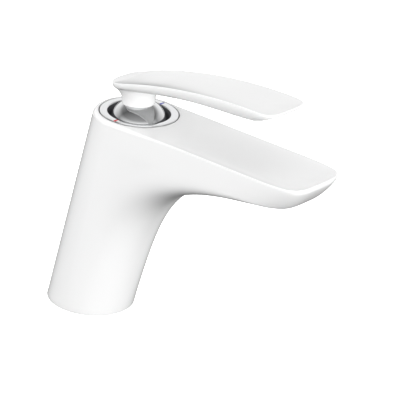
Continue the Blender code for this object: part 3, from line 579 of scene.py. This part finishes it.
def make_outlet(chrome, plastic):
    """The outlet's polished housing and the screen of jets inside it."""
    centre, turn = outlet_frame()
    face = OUTLET_FACE
    inner = OUTLET_BORE
    shell = eased([(inner - 0.9, face - 0.2), (9.4, face - 0.2), (9.6, face + 2.2), (9.6, face + 7),
                   (inner, face + 7), (inner, face + 1.4), (inner - 0.9, face + 1.2)], 0.25)
    housing = solid(spun(shell, 128), "outlet_ring", centre, turn)
    place(housing, chrome, "mixer_body", "aerator_housing")
    screen = solid(cylinder(inner - 0.15, face + 1.5, face + 4.4), "jet_screen", centre, turn)
    holes = bmesh.new()
    for row in range(-3, 4):
        for column in range(-3, 4):
            x = JET_PITCH * (column + 0.5 * (row % 2))
            y = JET_PITCH * row * sqrt(0.75)
            if hypot(x, y) < inner - 1.6:
                made = bmesh.ops.create_circle(holes, cap_ends=True, radius=JET_R, segments=6)
                bmesh.ops.translate(holes, vec=(x, y, face), verts=made["verts"])
    grown = bmesh.ops.extrude_face_region(holes, geom=holes.faces[:])
    moved = [v for v in grown["geom"] if isinstance(v, bmesh.types.BMVert)]
    bmesh.ops.translate(holes, vec=(0, 0, JET_DEPTH), verts=moved)
    combine(screen, solid(holes, "jet_holes", centre, turn))
    place(screen, plastic, "mixer_body", "aerator_insert")


def make_base(brass, rubber):
    """The brass foot with its sockets, and the seal in its groove."""
    radius = COLUMN_R - CORE_WALL - PLATE_GAP
    core = 0.001
    plate = eased([(core, 0), (radius, 0), (radius, PLATE_T), (core, PLATE_T)], 0.3)
    made = solid(leaning(spun(plate, 128)), "base_plate")
    near, far, deep = GROOVE
    groove = eased([(near, -1), (far, -1), (far, deep), (near, deep)], 0.1)
    combine(made, solid(spun(groove, 128), "groove_cut"))
    for opening in frame["record"]["physics"]["openings"]:
        if opening["name"] in SOCKETS:
            low, high = (np.array(c) / MM for c in opening["box_m"])
            middle = (low + high) / 2
            bore, depth = SOCKETS[opening["name"]]
            mouth = [(0, -1), (bore + 1.4, -1), (bore + 0.5, 0.0), (bore, 0.5), (bore, depth), (0, depth)]
            combine(made, solid(spun(mouth, 64), "socket_cut", (middle[0], middle[1], 0)))
    place(made, brass, "mixer_body", "base_insert")
    ring = [(SEAL_R + cos(a), 1.0 + sin(a)) for a in (2 * pi * k / 16 for k in range(16))]
    place(solid(spun(ring, 128), "base_seal"), rubber, "mixer_body", "base_gasket")


# ---------------------------------------------------------------- materials

class Value:
    """A shader socket on which sums can be written as Python."""

    def __init__(self, finish, socket):
        self.finish = finish
        self.socket = socket

    def sum(self, operation, first, second):
        return self.finish.node("ShaderNodeMath", {"operation": operation}, {0: first, 1: second})

    def __add__(self, other):
        return self.sum("ADD", self, other)

    def __radd__(self, other):
        return self.sum("ADD", other, self)

    def __mul__(self, other):
        return self.sum("MULTIPLY", self, other)

    def __rmul__(self, other):
        return self.sum("MULTIPLY", other, self)


class Shading:
    """A node tree, and one way to add nodes to it."""

    def __init__(self, tree):
        self.tree = tree

    def node(self, kind, settings, inputs, output=0):
        made = self.tree.nodes.new(kind)
        for key, value in settings.items():
            if key == "stops":
                ramp = made.color_ramp.elements
                for _ in value[2:]:
                    ramp.new(0.5)
                for element, (at, shade) in zip(ramp, value):
                    element.position = at
                    element.color = (shade, shade, shade, 1.0)
            else:
                setattr(made, key, value)
        for key, value in inputs.items():
            if isinstance(value, Value):
                self.tree.links.new(value.socket, made.inputs[key])
            else:
                made.inputs[key].default_value = value
        return Value(self, made.outputs[output])


class Finish(Shading):
    """A material with a Principled shader."""

    def __init__(self, name, colour, **values):
        self.material = bpy.data.materials.new(name)
        self.material.use_nodes = True
        super().__init__(self.material.node_tree)
        self.shader = self.tree.nodes["Principled BSDF"]
        self.shader.inputs["Base Color"].default_value = (*colour, 1.0)
        for key, value in values.items():
            self.shader.inputs[key.replace("_", " ")].default_value = value
        self.place = self.node("ShaderNodeTexCoord", {}, {}, "Object")

    def noise(self, scale, detail=3.0, stretch=(1, 1, 1)):
        """Noise fixed to the piece, from 0 to 1."""
        at = self.node("ShaderNodeMapping", {}, {"Vector": self.place, "Scale": stretch})
        inputs = {"Vector": at, "Scale": scale, "Detail": detail}
        return self.node("ShaderNodeTexNoise", {}, inputs, "Fac")

    def tint(self, amount, first, second):
        """A colour between two, by an amount from 0 to 1."""
        return self.node("ShaderNodeMix", {"data_type": "RGBA"},
                         {0: amount, 6: (*first, 1.0), 7: (*second, 1.0)}, 2)

    def drive(self, name, value):
        self.tree.links.new(value.socket, self.shader.inputs[name])

    def bump(self, height, distance):
        inputs = {"Height": height, "Distance": distance, "Strength": 1.0}
        self.drive("Normal", self.node("ShaderNodeBump", {}, inputs))


def white_coat():
    """Baked white coat: faint orange peel under a clear, glossy top."""
    coat = Finish("white_coat", (0.83, 0.83, 0.83), Coat_Weight=0.3, Coat_Roughness=0.08, IOR=1.5)
    peel = coat.noise(420.0, 2.0)
    drift = coat.noise(18.0, 2.0)
    coat.drive("Base Color", coat.tint(drift, (0.820, 0.822, 0.825), (0.845, 0.845, 0.842)))
    coat.drive("Roughness", 0.16 + 0.06 * coat.noise(60.0, 4.0))
    coat.bump(peel, 0.00002)
    return coat.material


def chrome():
    """Plated chrome: near mirror, with polishing haze."""
    plate = Finish("chrome", (0.80, 0.81, 0.82), Metallic=1.0)
    haze = plate.noise(90.0, 5.0)
    plate.drive("Base Color", plate.tint(plate.noise(30.0), (0.79, 0.80, 0.81), (0.83, 0.835, 0.84)))
    plate.drive("Roughness", 0.03 + 0.05 * haze * haze)
    plate.bump(plate.noise(260.0, 2.0), 0.000004)
    return plate.material


def turned_metal(name, dark, light, rough):
    """Metal with fine tool marks round the upright axis."""
    metal = Finish(name, light, Metallic=1.0)
    lines = metal.noise(1.0, 4.0, (900, 900, 5200))
    metal.drive("Base Color", metal.tint(metal.noise(55.0, 4.0), dark, light))
    metal.drive("Roughness", rough + 0.14 * lines)
    metal.bump(lines, 0.00002)
    return metal.material


def moulded(name, dark, light, rough, grain=700.0):
    """Moulded plastic or rubber with a fine grain."""
    plastic = Finish(name, light)
    speck = plastic.noise(grain, 3.0)
    plastic.drive("Base Color", plastic.tint(plastic.noise(45.0, 3.0), dark, light))
    plastic.drive("Roughness", rough + 0.12 * speck)
    plastic.bump(speck, 0.00003)
    return plastic.material


def enamel(name, dark, light):
    """Glossy fill of a mark."""
    fill = Finish(name, light, Coat_Weight=0.4, Coat_Roughness=0.08)
    fill.drive("Base Color", fill.tint(fill.noise(300.0, 3.0), dark, light))
    fill.drive("Roughness", 0.22 + 0.1 * fill.noise(500.0))
    return fill.material


def place(piece, material, body, *nodes):
    """Gives a piece its finish and its slot, and stands it in for frame nodes."""
    piece.data.materials.clear()
    piece.data.materials.append(material)
    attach(piece, body)
    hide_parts(*nodes)


# ---------------------------------------------------------------- room

def look_through_camera():
    """A long lens from the front left, above the rim, with a slight tilt."""
    right = Vector(VIEW_RIGHT).normalized()
    back = Vector(VIEW_BACK)
    back = (back - right * back.dot(right)).normalized()
    up = back.cross(right)
    camera = bpy.data.objects.new("camera", bpy.data.cameras.new("camera"))
    bpy.context.collection.objects.link(camera)
    camera.data.lens = VIEW_LENS
    camera.data.sensor_width = 36.0
    camera.data.clip_start = 0.05
    spot = (VIEW_PLACE[0] * right + VIEW_PLACE[1] * up + VIEW_PLACE[2] * back) * MM
    axes = Matrix((right, up, back)).transposed().to_4x4()
    camera.matrix_world = Matrix.Translation(spot) @ axes
    bpy.context.scene.camera = camera


def make_floor():
    """A white floor that shines evenly and lights only the view, not the mixer."""
    bm = bmesh.new()
    bmesh.ops.create_grid(bm, x_segments=1, y_segments=1, size=FLOOR_SIZE)
    floor = solid(bm, "floor", (0, 0, -0.05))
    pale = Finish("floor", (0.93, 0.93, 0.93), Roughness=0.9)
    pale.shader.inputs["Specular IOR Level"].default_value = 0.1
    pale.shader.inputs["Emission Color"].default_value = (1, 1, 1, 1)
    pale.shader.inputs["Emission Strength"].default_value = FLOOR_GLOW
    floor.data.materials.append(pale.material)
    floor.visible_diffuse = False
    floor.visible_glossy = False


def soft_box(name, at, aim, size, glow):
    """A rectangular light whose own face has the given brightness."""
    lamp = bpy.data.lights.new(name, "AREA")
    lamp.shape = "RECTANGLE"
    lamp.size, lamp.size_y = size
    lamp.energy = glow * pi * size[0] * size[1]
    made = bpy.data.objects.new(name, lamp)
    bpy.context.collection.objects.link(made)
    made.location = at
    made.rotation_euler = (Vector(aim) - Vector(at)).to_track_quat("-Z", "Y").to_euler()
    made.visible_glossy = False


def light_room():
    """A pale room, darker below and overhead, with soft boxes left, in front, right and above."""
    world = bpy.data.worlds.new("room")
    bpy.context.scene.world = world
    world.use_nodes = True
    room = Shading(world.node_tree)
    toward = room.node("ShaderNodeTexCoord", {}, {}, "Generated")
    upright = room.node("ShaderNodeSeparateXYZ", {}, {0: toward}, "Z")
    height = 0.5 + 0.5 * upright
    glow = room.node("ShaderNodeValToRGB", {"stops": ROOM}, {0: height}, "Color")
    across = room.node("ShaderNodeVectorMath", {"operation": "DOT_PRODUCT"},
                       {0: toward, 1: ACROSS_VIEW}, "Value")
    along = room.node("ShaderNodeMath", {"operation": "ABSOLUTE"}, {0: across})
    strength = ROOM_SIDES + (1 - ROOM_SIDES) * along
    back = room.tree.nodes["Background"]
    room.tree.links.new(glow.socket, back.inputs["Color"])
    room.tree.links.new(strength.socket, back.inputs["Strength"])
    for name, settings in SOFT_BOXES.items():
        soft_box(name, *settings)
    bpy.context.scene.view_settings.view_transform = "Standard"


def main():
    look_through_camera()
    make_floor()
    light_room()
    white = white_coat()
    plated = chrome()
    brass = turned_metal("brass", (0.52, 0.37, 0.15), (0.74, 0.57, 0.29), 0.22)
    steel = turned_metal("stainless_steel", (0.50, 0.50, 0.49), (0.66, 0.66, 0.65), 0.2)
    rubber = moulded("black_rubber", (0.018, 0.018, 0.019), (0.045, 0.045, 0.045), 0.55)
    plastic = moulded("white_plastic", (0.74, 0.74, 0.72), (0.83, 0.83, 0.81), 0.32)
    dark = moulded("dark_plastic", (0.06, 0.06, 0.065), (0.13, 0.13, 0.14), 0.4)
    ceramic = moulded("disc_ceramic", (0.84, 0.81, 0.76), (0.92, 0.90, 0.86), 0.18, 1500.0)
    red = enamel("red_enamel", (0.60, 0.01, 0.02), (0.78, 0.03, 0.04))
    blue = enamel("blue_enamel", (0.04, 0.05, 0.42), (0.10, 0.12, 0.60))
    finishes = {"white_coat": white, "chrome": plated, "brass": brass, "stainless_steel": steel,
                "black_rubber": rubber, "white_plastic": plastic, "dark_plastic": dark,
                "disc_ceramic": ceramic, "red_enamel": red, "blue_enamel": blue}
    for row in frame["record"]["subparts"]:
        node = frame["nodes"][row["node"]]
        node.data.materials.clear()
        node.data.materials.append(finishes[row["material_slot"]])
    make_body(white)
    # the dark plastic also covers the ring's bore as painted shade
    make_ring(plated, dark)
    make_marks(red, blue)
    make_ball(plated)
    make_lever(white)
    make_outlet(plated, plastic)
    make_base(brass, rubber)


main()
